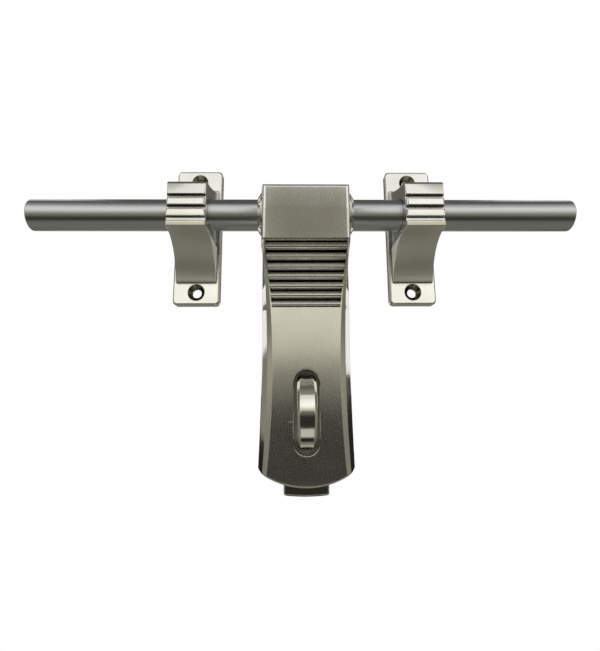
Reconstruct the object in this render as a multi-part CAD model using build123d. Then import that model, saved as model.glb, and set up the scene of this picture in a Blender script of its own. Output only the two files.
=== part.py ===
"""Aldrop bolt: a round bolt sliding in two door brackets, with a hasp that drops over a padlock staple."""

import os
from math import radians, sqrt, tan

from build123d import *

# Frame: millimetres, +X along the bolt, +Z up, the door is the plane Y = 0 and the front faces -Y.
# The origin lies on the door at the centre of the four bracket screw holes. Every piece is modelled
# about the rod axis first, at Z = 0, and raised to its place at the end.

# Bolt rod
ROD_LENGTH = 242.0
ROD_DIAMETER = 14.0
ROD_END_ROUND = 0.8
ROD_HEIGHT = 20.0           # rod axis off the door
ROD_RISE = 3.5              # rod axis above the middle of the bracket plates
ROD_REST_SHIFT = -1.15      # rod centre along X with the bolt shot

# Countersunk screw holes, the same in every base plate
SCREW_HOLE_DIAMETER = 4.5
SCREW_HEAD_DIAMETER = 8.0
SCREW_LAND = 0.6            # flat left between a countersink and the casting that rises beside it

# Brackets
BRACKET_SPACING = 102.4     # between the two bracket centres
PLATE_WIDTH = 22.0
PLATE_HEIGHT = 68.0
PLATE_THICKNESS = 4.0
PLATE_CORNER = 2.2          # corner radius seen from the front
PLATE_EDGE = 0.7            # bevel of the front edges
SCREW_TO_PLATE_END = 6.0
ROD_CLEARANCE = 0.25        # radial, rod in the bracket bores
SADDLE_FRONT_WALL = 5.5     # casting in front of the rod
SADDLE_TOP_WALL = 4.0       # casting over the rod
SADDLE_BOTTOM_WALL = 2.7    # lowest rib below the rod
SADDLE_FRONT_WIDTH = 16.6   # across the ribs
SADDLE_ROOT_WIDTH = 19.0    # across the root, on the plate
SADDLE_CROWN = 1.2          # how far the ribbed front bulges
SADDLE_SHOULDER = 2.2       # rounding of the top front edge
SADDLE_TOP_HOLLOW = 1.6     # dip of the top between root and shoulder
SADDLE_GROOVES = 3
SADDLE_RIB_PITCH = 5.0
SADDLE_LOW_RIB = 2.4        # height of the lowest rib
SADDLE_GROOVE_WIDTH = 1.7
SADDLE_GROOVE_DEPTH = 1.7
RIB_ROUND = 0.45            # rounding of the rib edges
RIB_END_ROUND = 1.3         # rounding of the rib ends, seen from above
LEG_STEP = 1.0              # leg set back from the lowest rib
LEG_HOLLOW = 5.6            # depth of the swan-neck curve below its chord
LEG_FOOT_STEP = 1.6         # leg standing proud of the plate at its foot
LEG_FOOT_ROUND = 0.8

# Hasp head, a block round the rod
HASP_BORE_CLEARANCE = 0.08  # radial, rod in the head
HEAD_FRONT_WALL = 4.5       # in front of the rod, at the axis
HEAD_BACK_WALL = 5.0
HEAD_LEAN = 6.0             # degrees, front leaning back towards the bottom
HEAD_TOP_LIP = 2.0          # top edge of the front above the rod
HEAD_BOTTOM_LIP = 7.5       # bottom edge of the front below the rod
HEAD_FRONT_WIDTH = 37.4
HEAD_BACK_WIDTH = 39.6      # from the rod axis back
HEAD_EDGE = 1.6             # rounding of the front's upright edges and top edge
COLLAR_REACH = 1.3          # collar round the rod, out of the head's side
COLLAR_WALL = 0.7           # collar wall at its rim
COLLAR_FLARE = 2.0          # how much wider the collar is at its root

# Hasp blade, an ogee from the head down to the toe
BLADE_THICKNESS = 5.5
NECK_THICKNESS = 19.0       # where the blade leaves the head
NECK_STEP = 0.9             # head front standing proud of the blade below it
TOE_DROP = 119.0            # lowest point of the toe below the rod axis
TOE_GAP = 0.7               # toe off the staple plate
TOE_RADIUS = 34.0           # convex lower edge
TOE_CORNER = 6.0            # rounding of the lower corners, seen from the front
TOE_EDGE = 0.6              # bevel of the toe's front edge
WAIST_DROP = 63.0           # narrowest place below the rod axis
NECK_FACE_WIDTH = 36.6
WAIST_FACE_WIDTH = 29.0
TOE_FACE_WIDTH = 35.4
WAIST_BACK_WIDTH = 38.8
TOE_BACK_WIDTH = 43.2
BEVEL_DEPTH = 2.0           # bevel between the face and the drafted side wall
FOOT_SLOPE = 3.4            # degrees, face at the foot of the ribs
TOE_SLOPE = 11.5            # degrees, face at the toe
BLADE_SECTIONS = 9
NECK_OVERLAP = 0.5          # blade let into the head

# Ribbed panel below the head
PANEL_DROP = 42.4           # foot of the panel below the rod axis
PANEL_RIM = 0.5             # face left at each end of the ribs
PANEL_RIBS = 7
PANEL_RIB_PITCH = 4.0
PANEL_RIB_RADIUS = 1.25
PANEL_FOOT_GAP = 0.2        # shadow line between the last rib and the foot

# Staple: base plate and padlock loop
STAPLE_WIDTH = 20.0
STAPLE_THICKNESS = 4.0
STAPLE_BELOW_TOE = 4.4      # plate showing below the hasp
STAPLE_END_BOW = 0.6        # ends bowed outwards
STAPLE_CORNER = 1.2
STAPLE_EDGE = 0.7           # bevel of the front edges
STRAP_WIDTH = 8.4           # across the loop's crest
STRAP_ROOT_WIDTH = 7.2      # across its roots, on the plate
STRAP_THICKNESS = 4.0
STRAP_EDGE = 1.2            # bevel of the strap's four edges
LOOP_LENGTH = 32.0          # loop from top to bottom
LOOP_DROP = 86.8            # loop centre below the rod axis
SHACKLE_GAP = 7.0           # room for a shackle between the hasp's face and the loop
SLOT_SIDE_CLEARANCE = 1.3
SLOT_TOP_CLEARANCE = 0.7    # strap's bevelled corners in the slot's upper end
SLOT_BOTTOM_CLEARANCE = 2.7
SLOT_RIM = 0.3              # bevel of the slot's mouth

# Set screw in the back of the head
SET_SCREW_DIAMETER = 5.0
SET_SCREW_CLEARANCE = 0.05  # radial in its hole, and at its tip off the rod
SET_SCREW_RECESS = 0.6      # below the back of the head
SET_SCREW_KEY = 2.5         # hexagon socket across flats
SET_SCREW_KEY_DEPTH = 2.0

# Working planes: side views hold (height off the door, Z), plans (X, height), fronts (X, Z).
SIDE = Plane(origin=(0, 0, 0), x_dir=(0, -1, 0), z_dir=(-1, 0, 0))
PLAN = Plane(origin=(0, 0, 0), x_dir=(1, 0, 0), z_dir=(0, 0, -1))
FRONT = Plane(origin=(0, 0, 0), x_dir=(1, 0, 0), z_dir=(0, -1, 0))

ROD_RADIUS = ROD_DIAMETER / 2
ROD_AXIS = Pos(0, -ROD_HEIGHT, 0) * Rot(0, 90, 0)
REACH = ROD_LENGTH          # long enough for any cutter to pass right through
BACK_ON_DOOR = (Align.CENTER, Align.MAX, Align.CENTER)
FROM_BOTTOM = (Align.CENTER, Align.MIN)


def corner(outline, x, y):
    """The vertex of a flat outline that is nearest to a point."""
    return outline.vertices().sort_by_distance((x, y, 0))[0]


def countersunk_hole(z, thickness):
    """Cutter for one screw hole, on the centre line of a plate of this thickness."""
    hole = SCREW_HOLE_DIAMETER / 2
    head = SCREW_HEAD_DIAMETER / 2
    side = Polyline((-thickness, 0), (-thickness, hole), (thickness + hole - head, hole), (thickness, head),
                    (2 * thickness, head), (2 * thickness, 0), close=True)
    return Pos(0, 0, z) * revolve(SIDE * make_face(side), Axis.Y)


def make_rod():
    """Plain round bar with both ends rounded off."""
    bar = Cylinder(ROD_RADIUS, ROD_LENGTH)
    bar = fillet(bar.edges().filter_by(GeomType.CIRCLE), ROD_END_ROUND)
    return Pos(ROD_REST_SHIFT, 0, 0) * ROD_AXIS * bar


# Brackets

SADDLE_CREST = ROD_HEIGHT + ROD_RADIUS + SADDLE_FRONT_WALL
SCREW_ROW = PLATE_HEIGHT / 2 - SCREW_TO_PLATE_END
TOP_SCREW_Z = SCREW_ROW - ROD_RISE
BOTTOM_SCREW_Z = -SCREW_ROW - ROD_RISE


def saddle_side():
    """Side view of the saddle: sloping top, ribbed front and swan-neck leg."""
    inside_plate = PLATE_THICKNESS / 2
    land = SCREW_HEAD_DIAMETER / 2 + SCREW_LAND
    shoulder = SADDLE_CREST - SADDLE_CROWN
    top = ROD_RADIUS + SADDLE_TOP_WALL
    bottom = -ROD_RADIUS - SADDLE_BOTTOM_WALL
    root_z = TOP_SCREW_Z - land
    foot_z = BOTTOM_SCREW_Z + land
    root = (PLATE_THICKNESS, root_z)
    foot = (PLATE_THICKNESS + LEG_FOOT_STEP, foot_z)
    side = make_face([
        Line((inside_plate, root_z), root),
        SagittaArc(root, (shoulder, top), -SADDLE_TOP_HOLLOW),
        SagittaArc((shoulder, top), (shoulder, bottom), SADDLE_CROWN),
        Line((shoulder, bottom), (shoulder - LEG_STEP, bottom)),
        SagittaArc((shoulder - LEG_STEP, bottom), foot, -LEG_HOLLOW),
        Polyline(foot, (inside_plate, foot_z), (inside_plate, root_z)),
    ])
    low_groove = bottom + SADDLE_LOW_RIB + SADDLE_GROOVE_WIDTH / 2
    for groove in range(SADDLE_GROOVES):
        middle = low_groove + groove * SADDLE_RIB_PITCH
        side -= Pos(SADDLE_CREST, middle) * Rectangle(2 * SADDLE_GROOVE_DEPTH, SADDLE_GROOVE_WIDTH)
    groove_mouths = side.vertices().filter_by(lambda v: v.X > shoulder + RIB_ROUND / 2)
    side = fillet(groove_mouths + [corner(side, shoulder, bottom)], RIB_ROUND)
    side = fillet(corner(side, shoulder, top), SADDLE_SHOULDER)
    return fillet(corner(side, *foot), LEG_FOOT_ROUND)


def make_bracket(centre_x):
    """Base plate and saddle in one casting, bored for the rod."""
    plate = Pos(0, 0, -ROD_RISE) * Box(PLATE_WIDTH, PLATE_THICKNESS, PLATE_HEIGHT, align=BACK_ON_DOOR)
    plate = fillet(plate.edges().filter_by(Axis.Y), PLATE_CORNER)
    plate = chamfer(plate.faces().sort_by(Axis.Y)[0].edges(), PLATE_EDGE)
    root = SADDLE_ROOT_WIDTH / 2
    front = SADDLE_FRONT_WIDTH / 2
    plan = Polyline((-root, 0), (root, 0), (front, SADDLE_CREST), (-front, SADDLE_CREST), close=True)
    plan = make_face(plan)
    plan = fillet(plan.vertices().group_by(Axis.Y)[-1], RIB_END_ROUND)
    saddle = extrude(SIDE * saddle_side(), PLATE_WIDTH, both=True)
    saddle &= extrude(PLAN * plan, PLATE_HEIGHT, both=True)
    casting = plate + saddle
    casting -= ROD_AXIS * Cylinder(ROD_RADIUS + ROD_CLEARANCE, REACH)
    for z in (TOP_SCREW_Z, BOTTOM_SCREW_Z):
        casting -= countersunk_hole(z, PLATE_THICKNESS)
    return Pos(centre_x, 0, 0) * casting


# Hasp

HEAD_FRONT = ROD_HEIGHT + ROD_RADIUS + HEAD_FRONT_WALL
HEAD_TOP = ROD_RADIUS + HEAD_TOP_LIP
HEAD_BOTTOM = -ROD_RADIUS - HEAD_BOTTOM_LIP
BOSS_RADIUS = ROD_RADIUS + HEAD_BACK_WALL
PANEL_FOOT = -PANEL_DROP
LOOP_Z = -LOOP_DROP
TOE = -TOE_DROP
TOE_FRONT = STAPLE_THICKNESS + TOE_GAP + BLADE_THICKNESS
NECK_RUN = HEAD_BOTTOM - PANEL_FOOT
TOE_RUN = PANEL_FOOT - TOE


def head_front(z):
    """Height of the head's leaning front."""
    return HEAD_FRONT + z * tan(radians(HEAD_LEAN))


def blade_front(z):
    """Height of the blade's face: hollow behind the ribs, then gently domed down to the toe."""
    foot_slope = tan(radians(FOOT_SLOPE))
    toe_slope = tan(radians(TOE_SLOPE))
    foot_height = TOE_FRONT + TOE_RUN * (foot_slope + toe_slope) / 2
    neck_height = head_front(HEAD_BOTTOM) - NECK_STEP
    above_foot = z - PANEL_FOOT
    if above_foot > 0:
        curve = (neck_height - foot_height - foot_slope * NECK_RUN) / NECK_RUN**2
    else:
        curve = (foot_slope - toe_slope) / (2 * TOE_RUN)
    return foot_height + foot_slope * above_foot + curve * above_foot**2


def blade_back(z):
    """Height of the blade's back: even thickness, growing into the neck below the head."""
    into_neck = max(z - PANEL_FOOT, 0) / NECK_RUN
    return blade_front(z) - BLADE_THICKNESS - (NECK_THICKNESS - BLADE_THICKNESS) * into_neck**2


def half_width(z, neck, waist, toe):
    """Half of a width that follows one parabola through its neck, waist and toe values."""
    waist_z = -WAIST_DROP
    at_neck = (z - waist_z) * (z - TOE) / ((HEAD_BOTTOM - waist_z) * (HEAD_BOTTOM - TOE))
    at_waist = (z - HEAD_BOTTOM) * (z - TOE) / ((waist_z - HEAD_BOTTOM) * (waist_z - TOE))
    at_toe = (z - HEAD_BOTTOM) * (z - waist_z) / ((TOE - HEAD_BOTTOM) * (TOE - waist_z))
    return (neck * at_neck + waist * at_waist + toe * at_toe) / 2


def face_half(z):
    return half_width(z, NECK_FACE_WIDTH, WAIST_FACE_WIDTH, TOE_FACE_WIDTH)


def back_half(z):
    return half_width(z, HEAD_BACK_WIDTH, WAIST_BACK_WIDTH, TOE_BACK_WIDTH)


def blade_section(z):
    """Flat face, bevels, drafted side walls and flat back."""
    front = blade_front(z)
    wall = (face_half(z) + back_half(z)) / 2
    right = [(face_half(z), front), (wall, front - BEVEL_DEPTH), (back_half(z), blade_back(z))]
    left = [(-x, height) for x, height in reversed(right)]
    return PLAN.offset(-z) * make_face(Polyline(*right, *left, close=True))


def make_slot():
    """Cutter for the slot, its round upper end just clearing the bevelled corners of the strap."""
    half = STRAP_WIDTH / 2 + SLOT_SIDE_CLEARANCE
    rise = sqrt((half - STRAP_EDGE - SLOT_TOP_CLEARANCE)**2 - (STRAP_ROOT_WIDTH / 2 - STRAP_EDGE)**2)
    top = LOOP_Z + LOOP_LENGTH / 2 - STRAP_EDGE - rise + half
    bottom = LOOP_Z - LOOP_LENGTH / 2 - SLOT_BOTTOM_CLEARANCE
    slot = SlotOverall(top - bottom, 2 * half, rotation=90)
    return extrude(FRONT * Pos(0, (top + bottom) / 2) * slot, REACH, both=True)


def on_slot_mouth(edge):
    """True for the edges where the slot breaks through the blade's face."""
    middle = edge.center()
    near_slot = abs(middle.X) < STRAP_WIDTH and TOE + BLADE_THICKNESS < middle.Z < PANEL_FOOT
    return near_slot and -middle.Y > blade_front(middle.Z) - BLADE_THICKNESS / 2


def make_blade():
    """Loft down the ogee, with the lower end cut to a convex edge with rounded corners."""
    top = HEAD_BOTTOM + NECK_OVERLAP
    drop = (top - TOE) / (BLADE_SECTIONS - 1)
    blade = loft([blade_section(top - drop * step) for step in range(BLADE_SECTIONS)])
    toe_centre = Pos(0, TOE + TOE_RADIUS)
    toe_end = toe_centre * Circle(TOE_RADIUS) & Pos(0, TOE) * Rectangle(TOE_BACK_WIDTH, 2 * TOE_DROP)
    toe_end = fillet(toe_end.vertices().group_by(Axis.Y)[0], TOE_CORNER)
    outline = toe_end + toe_centre * Rectangle(TOE_BACK_WIDTH, 2 * TOE_DROP, align=FROM_BOTTOM)
    blade &= extrude(FRONT * outline, REACH, both=True)
    lowest_edges = blade.edges().sort_by(Axis.Z)[:2]
    blade = chamfer(lowest_edges.sort_by(Axis.Y)[0], TOE_EDGE)
    blade -= make_slot()
    return chamfer(blade.edges().filter_by(on_slot_mouth), SLOT_RIM)


def make_head():
    """Block round the rod, with a leaning flat front, a round back and a collar on each side."""
    front_line = Line((head_front(HEAD_TOP), HEAD_TOP), (head_front(HEAD_BOTTOM), HEAD_BOTTOM))
    neck_line = Line((blade_back(HEAD_BOTTOM), HEAD_BOTTOM), (blade_front(HEAD_BOTTOM), HEAD_BOTTOM))
    boss = Pos(ROD_HEIGHT, 0) * Circle(BOSS_RADIUS)
    side = make_hull([front_line, neck_line] + boss.edges())
    back = HEAD_BACK_WIDTH / 2
    front = HEAD_FRONT_WIDTH / 2
    reach = head_front(HEAD_TOP)
    plan = Polyline((-back, 0), (back, 0), (back, ROD_HEIGHT), (front, reach), (-front, reach),
                    (-back, ROD_HEIGHT), close=True)
    block = extrude(SIDE * side, HEAD_BACK_WIDTH, both=True)
    block &= extrude(PLAN * make_face(plan), REACH, both=True)
    front_edges = block.faces().sort_by(Axis.Y)[0].edges().sort_by(Axis.Z)
    block = fillet(front_edges[1:], HEAD_EDGE)
    rim = ROD_RADIUS + COLLAR_WALL
    end = back + COLLAR_REACH
    root = rim + COLLAR_FLARE
    collar = Polyline((0, 0), (0, root), (back, root), (end, rim), (end, 0), close=True)
    right_collar = Pos(0, -ROD_HEIGHT, 0) * revolve(make_face(collar), Axis.X)
    return block + right_collar + mirror(right_collar, Plane.YZ)


def panel_half(z):
    return face_half(z) - PANEL_RIM


def make_panel_recess():
    """Cutter for the tapering panel that sinks into the blade's face below the head."""
    middle = (HEAD_BOTTOM + PANEL_FOOT) / 2
    floor = Spline([(blade_front(z) - PANEL_RIB_RADIUS, z) for z in (HEAD_BOTTOM, middle, PANEL_FOOT)])
    mouth = Polyline(floor @ 1, (HEAD_FRONT, PANEL_FOOT), (HEAD_FRONT, HEAD_BOTTOM), floor @ 0)
    top = panel_half(HEAD_BOTTOM)
    foot = panel_half(PANEL_FOOT)
    taper = Polyline((-top, HEAD_BOTTOM), (top, HEAD_BOTTOM), (foot, PANEL_FOOT), (-foot, PANEL_FOOT),
                     close=True)
    recess = extrude(SIDE * make_face([floor, mouth]), HEAD_BACK_WIDTH, both=True)
    return recess & extrude(FRONT * make_face(taper), REACH, both=True)


def panel_rib(z):
    """Half-round rib lying across the recess, its crest level with the blade's face."""
    axis = Pos(0, PANEL_RIB_RADIUS - blade_front(z), z) * Rot(0, 90, 0)
    return axis * Cylinder(PANEL_RIB_RADIUS, 2 * panel_half(z) + PANEL_RIM)


def make_hasp():
    """Head and blade in one casting, bored for the rod and slotted for the padlock loop."""
    casting = make_head() + make_blade() - make_panel_recess()
    last_rib = PANEL_FOOT + PANEL_FOOT_GAP + PANEL_RIB_RADIUS
    for rib in range(PANEL_RIBS):
        casting += panel_rib(last_rib + rib * PANEL_RIB_PITCH)
    casting -= ROD_AXIS * Cylinder(ROD_RADIUS + HASP_BORE_CLEARANCE, REACH)
    casting -= extrude(FRONT * Circle(SET_SCREW_DIAMETER / 2 + SET_SCREW_CLEARANCE), ROD_HEIGHT)
    return casting


def make_set_screw():
    """Grub screw in the back of the head, its tip at the rod, with a hexagon socket."""
    tip = ROD_HEIGHT - ROD_RADIUS - SET_SCREW_CLEARANCE
    tail = ROD_HEIGHT - BOSS_RADIUS + SET_SCREW_RECESS
    screw = extrude(FRONT.offset(tail) * Circle(SET_SCREW_DIAMETER / 2), tip - tail)
    key = RegularPolygon(SET_SCREW_KEY / 2, 6, major_radius=False)
    return screw - extrude(FRONT.offset(tail) * key, SET_SCREW_KEY_DEPTH)


# Staple

LOOP_RADIUS = LOOP_LENGTH / 2
LOOP_CREST = blade_front(LOOP_Z) + SHACKLE_GAP + STRAP_THICKNESS


def arch(radius):
    """Side view of an arch standing in the base plate, square legs below a half circle."""
    low = STAPLE_THICKNESS / 2
    spring = LOOP_CREST - LOOP_RADIUS
    top = LOOP_Z + radius
    bottom = LOOP_Z - radius
    return make_face([
        ThreePointArc((spring, bottom), (spring + radius, LOOP_Z), (spring, top)),
        Polyline((spring, top), (low, top), (low, bottom), (spring, bottom)),
    ])


def make_loop():
    """Arched strap, narrowing from its crest to its roots, with bevelled edges."""
    root = STRAP_ROOT_WIDTH / 2
    crest = STRAP_WIDTH / 2
    plan = Polyline((-root, 0), (root, 0), (crest, LOOP_CREST), (-crest, LOOP_CREST), close=True)
    strap = arch(LOOP_RADIUS) - arch(LOOP_RADIUS - STRAP_THICKNESS)
    loop = extrude(SIDE * strap, STRAP_WIDTH, both=True)
    loop &= extrude(PLAN * make_face(plan), REACH, both=True)
    flanks = loop.faces().sort_by(Axis.X)
    return chamfer(flanks[0].edges() + flanks[-1].edges(), STRAP_EDGE)


def make_staple():
    """Base plate with bowed ends and two screw holes, and the loop for the padlock."""
    half_length = TOE_DROP + STAPLE_BELOW_TOE - LOOP_DROP
    half = STAPLE_WIDTH / 2
    square = half_length - STAPLE_END_BOW
    outline = make_face([
        SagittaArc((-half, square), (half, square), STAPLE_END_BOW),
        Line((half, square), (half, -square)),
        SagittaArc((half, -square), (-half, -square), STAPLE_END_BOW),
        Line((-half, -square), (-half, square)),
    ])
    outline = fillet(outline.vertices(), STAPLE_CORNER)
    plate = extrude(FRONT * Pos(0, LOOP_Z) * outline, STAPLE_THICKNESS)
    plate = chamfer(plate.faces().sort_by(Axis.Y)[0].edges(), STAPLE_EDGE)
    casting = plate + make_loop()
    screw_offset = (LOOP_RADIUS + half_length) / 2
    for z in (LOOP_Z + screw_offset, LOOP_Z - screw_offset):
        casting -= countersunk_hole(z, STAPLE_THICKNESS)
    return casting


def export(node, solid):
    """Raise one piece from the rod axis to its place and write it."""
    export_step(Pos(0, 0, ROD_RISE) * solid, f"parts/{node}.step")


os.makedirs("parts", exist_ok=True)
export("rod", make_rod())
export("left_bracket", make_bracket(-BRACKET_SPACING / 2))
export("right_bracket", make_bracket(BRACKET_SPACING / 2))
export("hasp", make_hasp())
export("set_screw", make_set_screw())
export("staple", make_staple())
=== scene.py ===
from math import pi, radians

import bpy
from mathutils import Euler, Matrix, Vector


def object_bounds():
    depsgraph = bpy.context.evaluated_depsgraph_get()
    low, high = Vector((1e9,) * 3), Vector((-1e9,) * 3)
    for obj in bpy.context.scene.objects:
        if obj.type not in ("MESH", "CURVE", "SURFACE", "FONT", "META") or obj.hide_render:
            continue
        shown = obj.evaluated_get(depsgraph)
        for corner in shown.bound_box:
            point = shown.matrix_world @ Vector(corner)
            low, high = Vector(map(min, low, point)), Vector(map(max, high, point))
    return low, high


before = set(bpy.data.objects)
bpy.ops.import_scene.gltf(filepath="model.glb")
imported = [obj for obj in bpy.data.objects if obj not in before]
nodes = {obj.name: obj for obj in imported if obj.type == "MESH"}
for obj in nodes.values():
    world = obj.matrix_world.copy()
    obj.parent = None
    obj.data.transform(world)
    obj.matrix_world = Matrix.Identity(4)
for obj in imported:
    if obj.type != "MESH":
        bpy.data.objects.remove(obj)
cad_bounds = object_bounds()

# Brackets: two castings, each a base plate and a ribbed saddle in one, polished and nickel plated, with two
# empty screw holes. Ribs and plates shine, the swan-neck legs are satin, and handling has burnished the
# edges. Painted shade darkens the grooves and other recesses, and the screw holes carry a grey painted shade.


def linear(hex_colour):
    """An sRGB hex colour as the linear RGBA that shader sockets take."""
    parts = [int(hex_colour[i:i + 2], 16) / 255 for i in (0, 2, 4)]
    return [c / 12.92 if c <= 0.04045 else ((c + 0.055) / 1.055) ** 2.4 for c in parts] + [1.0]


def set_inputs(node, inputs):
    """Set a shader node's inputs: each is a value, or an output socket to link."""
    for name, value in inputs.items():
        if isinstance(value, bpy.types.NodeSocket):
            node.id_data.links.new(value, node.inputs[name])
        else:
            node.inputs[name].default_value = value


def add_node(tree, kind, inputs=None, **settings):
    """One shader node: settings are its properties, inputs are as set_inputs takes them."""
    node = tree.nodes.new("ShaderNode" + kind)
    for name, value in settings.items():
        setattr(node, name, value)
    set_inputs(node, inputs or {})
    return node


def new_metal(name):
    """A new metal: the material, its node tree and its shader."""
    metal = bpy.data.materials.new(name)
    metal.use_nodes = True
    shader = metal.node_tree.nodes["Principled BSDF"]
    set_inputs(shader, {"Metallic": 1.0})
    return metal, metal.node_tree, shader


def dress(piece, metal):
    """Give a piece its one material."""
    nodes[piece].data.materials.clear()
    nodes[piece].data.materials.append(metal)


# Nickel plating: a pale, faintly warm mirror, clouded a little and with a slight peel. The real brushing
# lines are finer than STREAK_WIDTH, which is as coarse as they need to show.
CLOUD_SIZE = 0.018
PEEL_SIZE, PEEL_DEPTH, PEEL_STRENGTH = 0.0007, 0.0002, 0.03
STREAK_LENGTH, STREAK_WIDTH = 0.03, 0.0004
NOISE_SPAN = {"From Min": 0.3, "From Max": 0.7}
NICKEL_TONES = ((0.3, "E2E1D8"), (0.7, "EDECE6"))
POLISHED = {"To Min": 0.09, "To Max": 0.14}
SATIN = {"To Min": 0.46, "To Max": 0.56}
LEG_TOP, LEG_FOOT, BLEND = -0.0059, -0.0045, 0.0002
EDGE_ROUND, EDGE_ROUGHNESS = 0.0006, 0.12
EDGE_TURN = {"From Min": 0.99, "From Max": 0.85}
# Painted shade in recesses: a near black tone, spread by how closed in each point is.
RECESS_SHADE_TONE, RECESS_SHADE_REACH = "14130F", 0.003
RECESS_SHADE_SPAN = {"From Min": 0.35, "From Max": 0.82}
# Painted shade in the screw holes: a flat grey tone.
HOLE_SHADE_TONE = "7A776C"
HOLE_ASIDE, HOLE_UP, HOLE_RADIUS = 0.0512, 0.028, 0.004
DOOR_FACE = -0.0002
nickel, tree, shader = new_metal("polished nickel-plated casting, satin legs")
place = add_node(tree, "TexCoord", name="place").outputs["Object"]
axes = add_node(tree, "SeparateXYZ", {"Vector": place}, name="axes").outputs
clouds = add_node(tree, "TexNoise", {"Vector": place, "Scale": 1 / CLOUD_SIZE, "Detail": 3.0})
peel = add_node(tree, "TexNoise", {"Vector": place, "Scale": 1 / PEEL_SIZE, "Detail": 2.0})
run = add_node(tree, "Mapping", {"Vector": place,
                                 "Scale": (1 / STREAK_LENGTH, 1 / STREAK_WIDTH, 1 / STREAK_WIDTH)},
               name="streak run")
streaks = add_node(tree, "TexNoise", {"Vector": run.outputs["Vector"], "Scale": 1.0, "Detail": 2.0})
tone = add_node(tree, "ValToRGB", {"Fac": clouds.outputs["Fac"]}, name="tone")
for stop, (position, colour) in zip(tone.color_ramp.elements, NICKEL_TONES):
    stop.position = position
    stop.color = linear(colour)
below = add_node(tree, "MapRange", {"Value": axes["Z"], "From Min": LEG_TOP, "From Max": LEG_TOP - BLEND},
                 name="first limit")
proud = add_node(tree, "MapRange", {"Value": axes["Y"], "From Min": LEG_FOOT, "From Max": LEG_FOOT - BLEND},
                 name="second limit")
leg = add_node(tree, "Math", {0: below.outputs["Result"], 1: proud.outputs["Result"]}, operation="MULTIPLY",
               name="satin area")
# Painted shade: points closed in by nearby surfaces take the near black recess tone.
openness = add_node(tree, "AmbientOcclusion", {"Distance": RECESS_SHADE_REACH}, samples=6)
recess_unshaded = add_node(tree, "MapRange", {"Value": openness.outputs["AO"], **RECESS_SHADE_SPAN}, name="recess_unshaded")
recess_shaded = add_node(tree, "Mix", {"Factor": recess_unshaded.outputs["Result"], "A": linear(RECESS_SHADE_TONE),
                                "B": tone.outputs["Color"]}, data_type="RGBA", name="soiled tone")
# Painted shade: the walls of the screw holes take a flat grey tone.
aside = add_node(tree, "Math", {0: axes["X"]}, operation="ABSOLUTE")
up = add_node(tree, "Math", {0: axes["Z"]}, operation="ABSOLUTE")
from_middle = add_node(tree, "CombineXYZ", {"X": aside.outputs[0], "Y": up.outputs[0]})
to_hole = add_node(tree, "VectorMath", {0: from_middle.outputs[0], 1: (HOLE_ASIDE, HOLE_UP, 0)},
                   operation="DISTANCE")
within = add_node(tree, "Math", {0: to_hole.outputs["Value"], 1: HOLE_RADIUS}, operation="LESS_THAN")
off_door = add_node(tree, "Math", {0: axes["Y"], 1: DOOR_FACE}, operation="LESS_THAN", name="off the door")
hole = add_node(tree, "Math", {0: within.outputs[0], 1: off_door.outputs[0]}, operation="MULTIPLY")
hole_shaded = add_node(tree, "Mix", {"Factor": hole.outputs[0], "A": recess_shaded.outputs["Result"],
                                 "B": linear(HOLE_SHADE_TONE)}, data_type="RGBA", name="drilled tone")
shine = add_node(tree, "MapRange", {"Value": streaks.outputs["Fac"], **NOISE_SPAN, **POLISHED}, name="shine")
satin = add_node(tree, "MapRange", {"Value": streaks.outputs["Fac"], **NOISE_SPAN, **SATIN}, name="satin")
finish = add_node(tree, "Mix", {"Factor": leg.outputs[0], "A": shine.outputs["Result"],
                                "B": satin.outputs["Result"]}, name="finish")
rounded = add_node(tree, "Bevel", {"Radius": EDGE_ROUND}, samples=8, name="rounded edges").outputs["Normal"]
facing = add_node(tree, "NewGeometry", name="facing").outputs["Normal"]
turn = add_node(tree, "VectorMath", {0: rounded, 1: facing}, operation="DOT_PRODUCT")
worn = add_node(tree, "MapRange", {"Value": turn.outputs["Value"], **EDGE_TURN})
burnish = add_node(tree, "Mix", {"Factor": worn.outputs["Result"], "A": finish.outputs["Result"],
                                 "B": EDGE_ROUGHNESS}, name="burnish")
bump = add_node(tree, "Bump", {"Height": peel.outputs["Fac"], "Strength": PEEL_STRENGTH,
                               "Distance": PEEL_DEPTH, "Normal": rounded})
set_inputs(shader, {"Base Color": hole_shaded.outputs["Result"], "Roughness": burnish.outputs["Result"],
                    "Normal": bump.outputs["Normal"]})
for piece in ("left_bracket", "right_bracket"):
    dress(piece, nickel)

# Hasp: one casting in the same plating, locked to the bar by its set screw. Its head, blade and back are
# satin, brushed up and down, and its ribs and side walls shine. The flat grooves between the ribs and other
# recesses take a near black tone as painted shade, and use has left a short nick beside the slot.
HASP_SATIN = {"To Min": 0.25, "To Max": 0.29}
HASP_POLISHED = {"To Min": 0.05, "To Max": 0.09}
# Painted shade in recesses is kept to the most closed-in spots on the hasp.
HASP_RECESS_SHADE_SPAN = {"From Min": 0.1, "From Max": 0.45}
HASP_EDGE_ROUND = 0.0005
SIDE_WALL_TURN = {"From Min": 0.75, "From Max": 0.6}
RIBS_TOP, RIBS_FOOT = -0.0115, -0.0388
LAST_RIB, RIB_PITCH = -0.03745, 0.004
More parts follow.
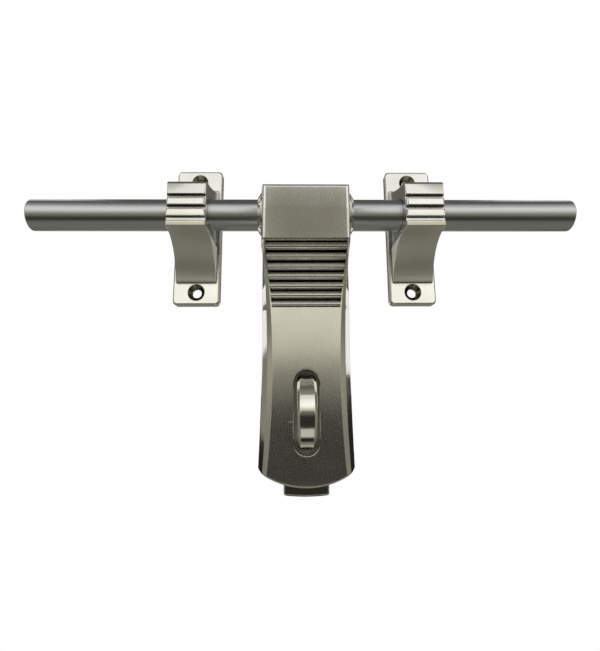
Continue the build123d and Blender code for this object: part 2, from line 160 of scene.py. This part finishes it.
# Painted shade in the grooves between the ribs: where the grooves lie, and their near black tone.
GROOVE_SPAN = {"From Min": 0.00132, "From Max": 0.00148}
GROOVE_END, GROOVE_TAPER, GROOVE_FRONT = 0.019, 0.105, -0.017
GROOVE_SHADE_TONE = "0E0D0C"
NICK_PLACE, NICK_LENGTH, NICK_WIDTH = (-0.0069, 0, -0.0879), 0.0026, 0.0008
NICK_EDGE = {"From Min": 1.0, "From Max": 0.6}
NICK_ROUGHNESS = 0.45
hasp_nickel = nickel.copy()
hasp_nickel.name = "polished nickel-plated casting, satin face"
tree = hasp_nickel.node_tree
axes = tree.nodes["axes"].outputs
set_inputs(tree.nodes["streak run"], {"Scale": (1 / STREAK_WIDTH, 1 / STREAK_WIDTH, 1 / STREAK_LENGTH)})
set_inputs(tree.nodes["satin"], HASP_SATIN)
set_inputs(tree.nodes["shine"], HASP_POLISHED)
set_inputs(tree.nodes["recess_unshaded"], HASP_RECESS_SHADE_SPAN)
set_inputs(tree.nodes["rounded edges"], {"Radius": HASP_EDGE_ROUND})
set_inputs(tree.nodes["first limit"], {"From Min": RIBS_FOOT, "From Max": RIBS_FOOT - BLEND})
set_inputs(tree.nodes["second limit"], {"Value": axes["Z"], "From Min": RIBS_TOP,
                                        "From Max": RIBS_TOP + BLEND})
off_ribs = tree.nodes["satin area"]
off_ribs.operation = "ADD"
front = add_node(tree, "Math", {0: axes["Y"], 1: GROOVE_FRONT}, operation="LESS_THAN")
back = add_node(tree, "Math", {0: 1.0, 1: front.outputs[0]}, operation="SUBTRACT")
plain = add_node(tree, "Math", {0: off_ribs.outputs[0], 1: back.outputs[0]}, operation="MAXIMUM")
facing_axes = add_node(tree, "SeparateXYZ", {"Vector": tree.nodes["facing"].outputs["Normal"]}).outputs
sideways = add_node(tree, "Math", {0: facing_axes["X"]}, operation="ABSOLUTE")
off_wall = add_node(tree, "MapRange", {"Value": sideways.outputs[0], **SIDE_WALL_TURN})
brushed = add_node(tree, "Math", {0: plain.outputs[0], 1: off_wall.outputs["Result"]}, operation="MULTIPLY")
set_inputs(tree.nodes["finish"], {"Factor": brushed.outputs[0]})
# Painted shade: the grooves between the ribs take a near black tone.
from_last = add_node(tree, "Math", {0: axes["Z"], 1: LAST_RIB}, operation="SUBTRACT")
from_rib = add_node(tree, "Math", {0: from_last.outputs[0], 1: RIB_PITCH / 2}, operation="PINGPONG")
between = add_node(tree, "MapRange", {"Value": from_rib.outputs[0], **GROOVE_SPAN})
across = add_node(tree, "Math", {0: axes["X"]}, operation="ABSOLUTE")
groove_end = add_node(tree, "Math", {0: axes["Z"], 1: GROOVE_TAPER, 2: GROOVE_END}, operation="MULTIPLY_ADD")
inside = add_node(tree, "Math", {0: across.outputs[0], 1: groove_end.outputs[0]}, operation="LESS_THAN")
panel = add_node(tree, "Math", {0: inside.outputs[0], 1: front.outputs[0]}, operation="MULTIPLY")
ribbed = add_node(tree, "Math", {0: panel.outputs[0], 1: off_ribs.outputs[0]}, operation="SUBTRACT",
                  use_clamp=True)
groove = add_node(tree, "Math", {0: between.outputs["Result"], 1: ribbed.outputs[0]}, operation="MULTIPLY")
darkened = add_node(tree, "Mix", {"Factor": groove.outputs[0],
                                   "A": tree.nodes["soiled tone"].outputs["Result"],
                                   "B": linear(GROOVE_SHADE_TONE)}, data_type="RGBA")
set_inputs(tree.nodes["drilled tone"], {"A": darkened.outputs["Result"]})
from_nick = add_node(tree, "VectorMath", {0: tree.nodes["place"].outputs["Object"], 1: NICK_PLACE},
                     operation="SUBTRACT")
in_nick = add_node(tree, "VectorMath", {0: from_nick.outputs["Vector"],
                                        1: (2 / NICK_LENGTH, 0, 2 / NICK_WIDTH)}, operation="MULTIPLY")
nick_reach = add_node(tree, "VectorMath", {0: in_nick.outputs["Vector"]}, operation="LENGTH")
nick_area = add_node(tree, "MapRange", {"Value": nick_reach.outputs["Value"], **NICK_EDGE})
forward = add_node(tree, "Math", {0: facing_axes["Y"], 1: 0.0}, operation="LESS_THAN")
nick = add_node(tree, "Math", {0: nick_area.outputs["Result"], 1: forward.outputs[0]}, operation="MULTIPLY")
nicked = add_node(tree, "Mix", {"Factor": nick.outputs[0], "A": tree.nodes["burnish"].outputs["Result"],
                                "B": NICK_ROUGHNESS})
set_inputs(tree.nodes["Principled BSDF"], {"Roughness": nicked.outputs["Result"]})
dress("hasp", hasp_nickel)

# Staple: one casting in the same plating, a base plate behind the hasp and a loop for the padlock through
# its slot. The loop is brushed bright. The plate is left as cast, rougher, with a darker tone that is painted
# shade from the hasp, apart from its polished lower end, which shows below the hasp.
LOOP_BRUSHED = {"To Min": 0.14, "To Max": 0.18}
AS_CAST = {"To Min": 0.42, "To Max": 0.5}
# Painted shade: the plate's darker tone, where it lies behind the hasp.
PLATE_SHADE_TONE = "A3A197"
PLATE_END, END_ROUGHNESS = -0.1145, 0.1
staple_nickel = nickel.copy()
staple_nickel.name = "nickel-plated casting, brushed loop, as-cast plate"
tree = staple_nickel.node_tree
set_inputs(tree.nodes["satin"], LOOP_BRUSHED)
set_inputs(tree.nodes["shine"], AS_CAST)
# Painted shade: the plate takes the darker tone except on the loop and the lower end.
low = add_node(tree, "Math", {0: tree.nodes["axes"].outputs["Z"], 1: PLATE_END}, operation="LESS_THAN")
end = add_node(tree, "Math", {0: low.outputs[0], 1: tree.nodes["off the door"].outputs[0]},
               operation="MULTIPLY")
plate_finish = add_node(tree, "Mix", {"Factor": end.outputs[0], "A": tree.nodes["shine"].outputs["Result"],
                                      "B": END_ROUGHNESS})
set_inputs(tree.nodes["finish"], {"A": plate_finish.outputs["Result"]})
bright = add_node(tree, "Math", {0: tree.nodes["satin area"].outputs[0], 1: end.outputs[0]},
                  operation="MAXIMUM")
plate_shaded_tone = add_node(tree, "Mix", {"Factor": bright.outputs[0], "A": linear(PLATE_SHADE_TONE),
                                    "B": tree.nodes["tone"].outputs["Color"]}, data_type="RGBA")
set_inputs(tree.nodes["soiled tone"], {"B": plate_shaded_tone.outputs["Result"]})
dress("staple", staple_nickel)

# Rod: a round bar of bright drawn steel that slides in the brackets. It is brushed along its length, so that
# its highlight lies in long soft lines. Its ends are faced off, which leaves rings round the axis. Lines and
# rings are drawn as coarse as they need to show.
LINE_LENGTH, LINE_WIDTH, LINE_DEPTH, LINE_STRENGTH = 0.06, 0.0005, 0.0002, 0.04
RING_SPACING, RING_WANDER = 0.0006, 1.0
RING_SOFTNESS = {"To Min": 0.42, "To Max": 0.58}
WAVE_RATE = 20  # radians that a wave texture runs through in one unit
AXIS_OFF_DOOR, AXIS_UP = 0.020, 0.0035
END_TURN = {"From Min": 0.6, "From Max": 0.9}
STEEL_TONES = ((0.3, "BBBCBF"), (0.7, "CFD0D3"))
BAR_BRUSHED = {"To Min": 0.24, "To Max": 0.34}
rod_steel, tree, shader = new_metal("drawn brushed steel")
place = add_node(tree, "TexCoord").outputs["Object"]
run = add_node(tree, "Mapping", {"Vector": place,
                                 "Scale": (1 / LINE_LENGTH, 1 / LINE_WIDTH, 1 / LINE_WIDTH)})
drawn = add_node(tree, "TexNoise", {"Vector": run.outputs["Vector"], "Scale": 1.0, "Detail": 4.0})
centred = add_node(tree, "Mapping", {"Vector": place, "Location": (0, AXIS_OFF_DOOR, -AXIS_UP)})
rings = add_node(tree, "TexWave", {"Vector": centred.outputs["Vector"],
                                   "Scale": 2 * pi / (WAVE_RATE * RING_SPACING),
                                   "Distortion": RING_WANDER}, wave_type="RINGS", rings_direction="X")
faced = add_node(tree, "MapRange", {"Value": rings.outputs["Fac"], **RING_SOFTNESS})
facing = add_node(tree, "NewGeometry").outputs["Normal"]
facing_axes = add_node(tree, "SeparateXYZ", {"Vector": facing}).outputs
along = add_node(tree, "Math", {0: facing_axes["X"]}, operation="ABSOLUTE")
on_end = add_node(tree, "MapRange", {"Value": along.outputs[0], **END_TURN})
lines = add_node(tree, "Mix", {"Factor": on_end.outputs["Result"], "A": drawn.outputs["Fac"],
                               "B": faced.outputs["Result"]}).outputs["Result"]
tone = add_node(tree, "ValToRGB", {"Fac": lines})
for stop, (position, colour) in zip(tone.color_ramp.elements, STEEL_TONES):
    stop.position = position
    stop.color = linear(colour)
gloss = add_node(tree, "MapRange", {"Value": lines, **NOISE_SPAN, **BAR_BRUSHED})
bump = add_node(tree, "Bump", {"Height": lines, "Strength": LINE_STRENGTH, "Distance": LINE_DEPTH})
set_inputs(shader, {"Base Color": tone.outputs["Color"], "Roughness": gloss.outputs["Result"],
                    "Normal": bump.outputs["Normal"]})
dress("rod", rod_steel)

# Set screw: a grub screw of blackened alloy steel in the back of the hasp's head, which locks the hasp to the
# bar. The oxide is nearly black, with a fine grain and a dull shine.
GRAIN_SIZE, GRAIN_DEPTH, GRAIN_STRENGTH = 0.0006, 0.0002, 0.1
OXIDE_TONES = ("1C1C1E", "3A3A3C")
OXIDE_SHINE = {"To Min": 0.3, "To Max": 0.5}
screw_steel, tree, shader = new_metal("blackened alloy steel")
place = add_node(tree, "TexCoord").outputs["Object"]
grain = add_node(tree, "TexNoise", {"Vector": place, "Scale": 1 / GRAIN_SIZE, "Detail": 3.0}).outputs["Fac"]
tone = add_node(tree, "ValToRGB", {"Fac": grain})
for stop, colour in zip(tone.color_ramp.elements, OXIDE_TONES):
    stop.color = linear(colour)
gloss = add_node(tree, "MapRange", {"Value": grain, **OXIDE_SHINE})
bump = add_node(tree, "Bump", {"Height": grain, "Strength": GRAIN_STRENGTH, "Distance": GRAIN_DEPTH})
set_inputs(shader, {"Base Color": tone.outputs["Color"], "Roughness": gloss.outputs["Result"],
                    "Normal": bump.outputs["Normal"]})
dress("set_screw", screw_steel)

# Floor: a plain pale sheet well below the bolt, white to the camera and an olive grey in reflections. It
# gives out its own light, as the cards do.


def sheet(name, wide, tall):
    """A flat rectangle round its own origin, by its half width and half height as vectors."""
    mesh = bpy.data.meshes.new(name)
    mesh.from_pydata([-wide - tall, wide - tall, wide + tall, tall - wide], [], [(0, 1, 2, 3)])
    rectangle = bpy.data.objects.new(name, mesh)
    bpy.context.collection.objects.link(rectangle)
    return rectangle


def new_paper(name):
    """A new material that has no shader yet, and the node tree to add its light to."""
    paper = bpy.data.materials.new(name)
    paper.use_nodes = True
    paper.node_tree.nodes.remove(paper.node_tree.nodes["Principled BSDF"])
    return paper, paper.node_tree


FLOOR_DROP, FLOOR_REACH = 0.25, 3.0
WHITE, OLIVE_GREY = "FFFFFF", "807F76"
floor = sheet("floor", Vector((FLOOR_REACH, 0, 0)), Vector((0, FLOOR_REACH, 0)))
floor.location.z = cad_bounds[0][2] - FLOOR_DROP
pale, tree = new_paper("pale studio floor")
to_camera = add_node(tree, "LightPath").outputs["Is Camera Ray"]
shown = add_node(tree, "Emission", {"Color": linear(WHITE), "Strength": 1.0})
mirrored = add_node(tree, "Emission", {"Color": linear(OLIVE_GREY), "Strength": 1.0})
either = add_node(tree, "MixShader", {0: to_camera, 1: mirrored.outputs[0], 2: shown.outputs[0]})
set_inputs(tree.nodes["Material Output"], {"Surface": either.outputs[0]})
floor.data.materials.append(pale)

# World: white to the camera. In reflections a bright band stands in front, the ceiling and both sides are
# dim, and a paler band lies low behind the bolt. Tones are given by their elevation in degrees.
FRONT_TONES = ((-12, "BEBAA8"), (6, "CBC8B6"), (14, "FFFFFA"), (22, "FFFFFF"), (34, "EEEEE9"), (47, "B0B0AB"),
               (60, "74746F"), (78, "50504D"))
SIDE_TONES = ((-8, "8A8A80"), (14, "575752"))
BACK_TONES = ((-40, "8C8C88"), (-14, "F0F0EC"), (0, "C4C4BE"), (12, "5C5C57"), (50, "5C5C57"), (80, "85857F"))
FRONT_TO_SIDE = {"From Min": -0.4, "From Max": -0.1}
SIDE_TO_BACK = {"From Min": 0.4, "From Max": 0.7}
ROOM_STRENGTH, BACKDROP_STRENGTH = 1.15, 1.0
world = bpy.data.worlds.new("studio")
bpy.context.scene.world = world
world.use_nodes = True
tree = world.node_tree
direction = add_node(tree, "SeparateXYZ", {"Vector": add_node(tree, "TexCoord").outputs["Generated"]})
elevation = add_node(tree, "Math", {0: direction.outputs["Z"]}, operation="ARCSINE")
height = add_node(tree, "MapRange", {"Value": elevation.outputs[0], "From Min": -pi / 2, "From Max": pi / 2})
walls = []
for tones in (FRONT_TONES, SIDE_TONES, BACK_TONES):
    wall = add_node(tree, "ValToRGB", {"Fac": height.outputs["Result"]})
    while len(wall.color_ramp.elements) < len(tones):
        wall.color_ramp.elements.new(0.5)
    for stop, (degrees, colour) in zip(wall.color_ramp.elements, tones):
        stop.position = (degrees + 90) / 180
        stop.color = linear(colour)
    walls.append(wall.outputs["Color"])
front_wall, side_wall, back_wall = walls
past_side = add_node(tree, "MapRange", {"Value": direction.outputs["Y"], **SIDE_TO_BACK})
around = add_node(tree, "Mix", {"Factor": past_side.outputs["Result"], "A": side_wall, "B": back_wall},
                  data_type="RGBA")
past_front = add_node(tree, "MapRange", {"Value": direction.outputs["Y"], **FRONT_TO_SIDE})
room = add_node(tree, "Mix", {"Factor": past_front.outputs["Result"], "A": front_wall,
                              "B": around.outputs["Result"]}, data_type="RGBA")
to_camera = add_node(tree, "LightPath").outputs["Is Camera Ray"]
backdrop = add_node(tree, "Mix", {"Factor": to_camera, "A": room.outputs["Result"], "B": linear(WHITE)},
                    data_type="RGBA")
strength = add_node(tree, "MapRange", {"Value": to_camera, "To Min": ROOM_STRENGTH,
                                       "To Max": BACKDROP_STRENGTH})
set_inputs(tree.nodes["Background"], {"Color": backdrop.outputs["Result"],
                                      "Strength": strength.outputs["Result"]})

# Camera: a wide lens close to the bolt, a little below it and looking up. The angles are in degrees.
LENS, NEAREST = 25.83, 0.01
CAMERA_PLACE = Vector((-0.00620, -0.21750, -0.08558))
CAMERA_PITCH, CAMERA_YAW, CAMERA_ROLL = 11.04, 1.01, -0.35
camera = bpy.data.objects.new("camera", bpy.data.cameras.new("camera"))
camera.data.lens = LENS
camera.data.clip_start = NEAREST
aim = Euler((radians(90 + CAMERA_PITCH), 0, radians(-CAMERA_YAW))).to_matrix().to_4x4()
camera.matrix_world = Matrix.Translation(CAMERA_PLACE) @ aim @ Matrix.Rotation(radians(CAMERA_ROLL), 4, "Z")
bpy.context.collection.objects.link(camera)
bpy.context.scene.camera = camera
bpy.context.scene.view_settings.view_transform = "Standard"

# Cards: plain paper that only reflections see. It is dark below the camera, dim behind it and bright above
# it, grey close to the hasp's head, pale and dark on the floor, and white over dark on each side behind the
# bolt. Each card is given by its centre, its half sizes and its tone.
CARD_LIFT = 0.001
ON_FLOOR = floor.location.z + CARD_LIFT
BEHIND_CAMERA = -0.2275
CARDS = {
    "dark_card": ((0, BEHIND_CAMERA, -0.258), (0.5, 0, 0.15), "2A2925"),
    "grey_card": ((0.0017, -0.081, 0.011), (0.0294, 0, 0.025), "7F7D71"),
    "bright_card": ((0.006, BEHIND_CAMERA, 0.21), (0.055, 0, 0.09), "FFFFFF"),
    "left_rib_card": ((-0.096, BEHIND_CAMERA, 0.23), (0.022, 0, 0.09), "FFFFFF"),
    "right_rib_card": ((0.108, BEHIND_CAMERA, 0.23), (0.022, 0, 0.09), "FFFFFF"),
    "camera_card": ((0.005, -0.2265, -0.104), (0.06, 0, 0.024), "64625A"),
    "floor_card": ((0, -0.136, ON_FLOOR), (0.05, 0.091, 0), "C8C6BA"),
    "floor_dark_card": ((0, 0.005, ON_FLOOR), (0.045, 0.05, 0), "12110F"),
    "left_card": ((-0.5, 0.45, 0.425), (0, 0.25, 0.475), "FFFFFF"),
    "right_card": ((0.5, 0.45, 0.425), (0, 0.25, 0.475), "FFFFFF"),
    "left_dark_card": ((-0.5, 0.45, -0.2), (0, 0.25, 0.15), "24231F"),
    "right_dark_card": ((0.5, 0.45, -0.2), (0, 0.25, 0.15), "24231F"),
}
for name, (centre, half, colour) in CARDS.items():
    lies_flat = half[2] == 0
    wide = Vector((half[0], 0 if lies_flat else half[1], 0))
    tall = Vector((0, half[1] if lies_flat else 0, half[2]))
    card = sheet(name, wide, tall)
    card.location = centre
    card.visible_camera = False
    card.visible_shadow = False
    card.visible_diffuse = False
    paper, tree = new_paper(name + " paper")
    light = add_node(tree, "Emission", {"Color": linear(colour), "Strength": 1.0})
    set_inputs(tree.nodes["Material Output"], {"Surface": light.outputs[0]})
    card.data.materials.append(paper)
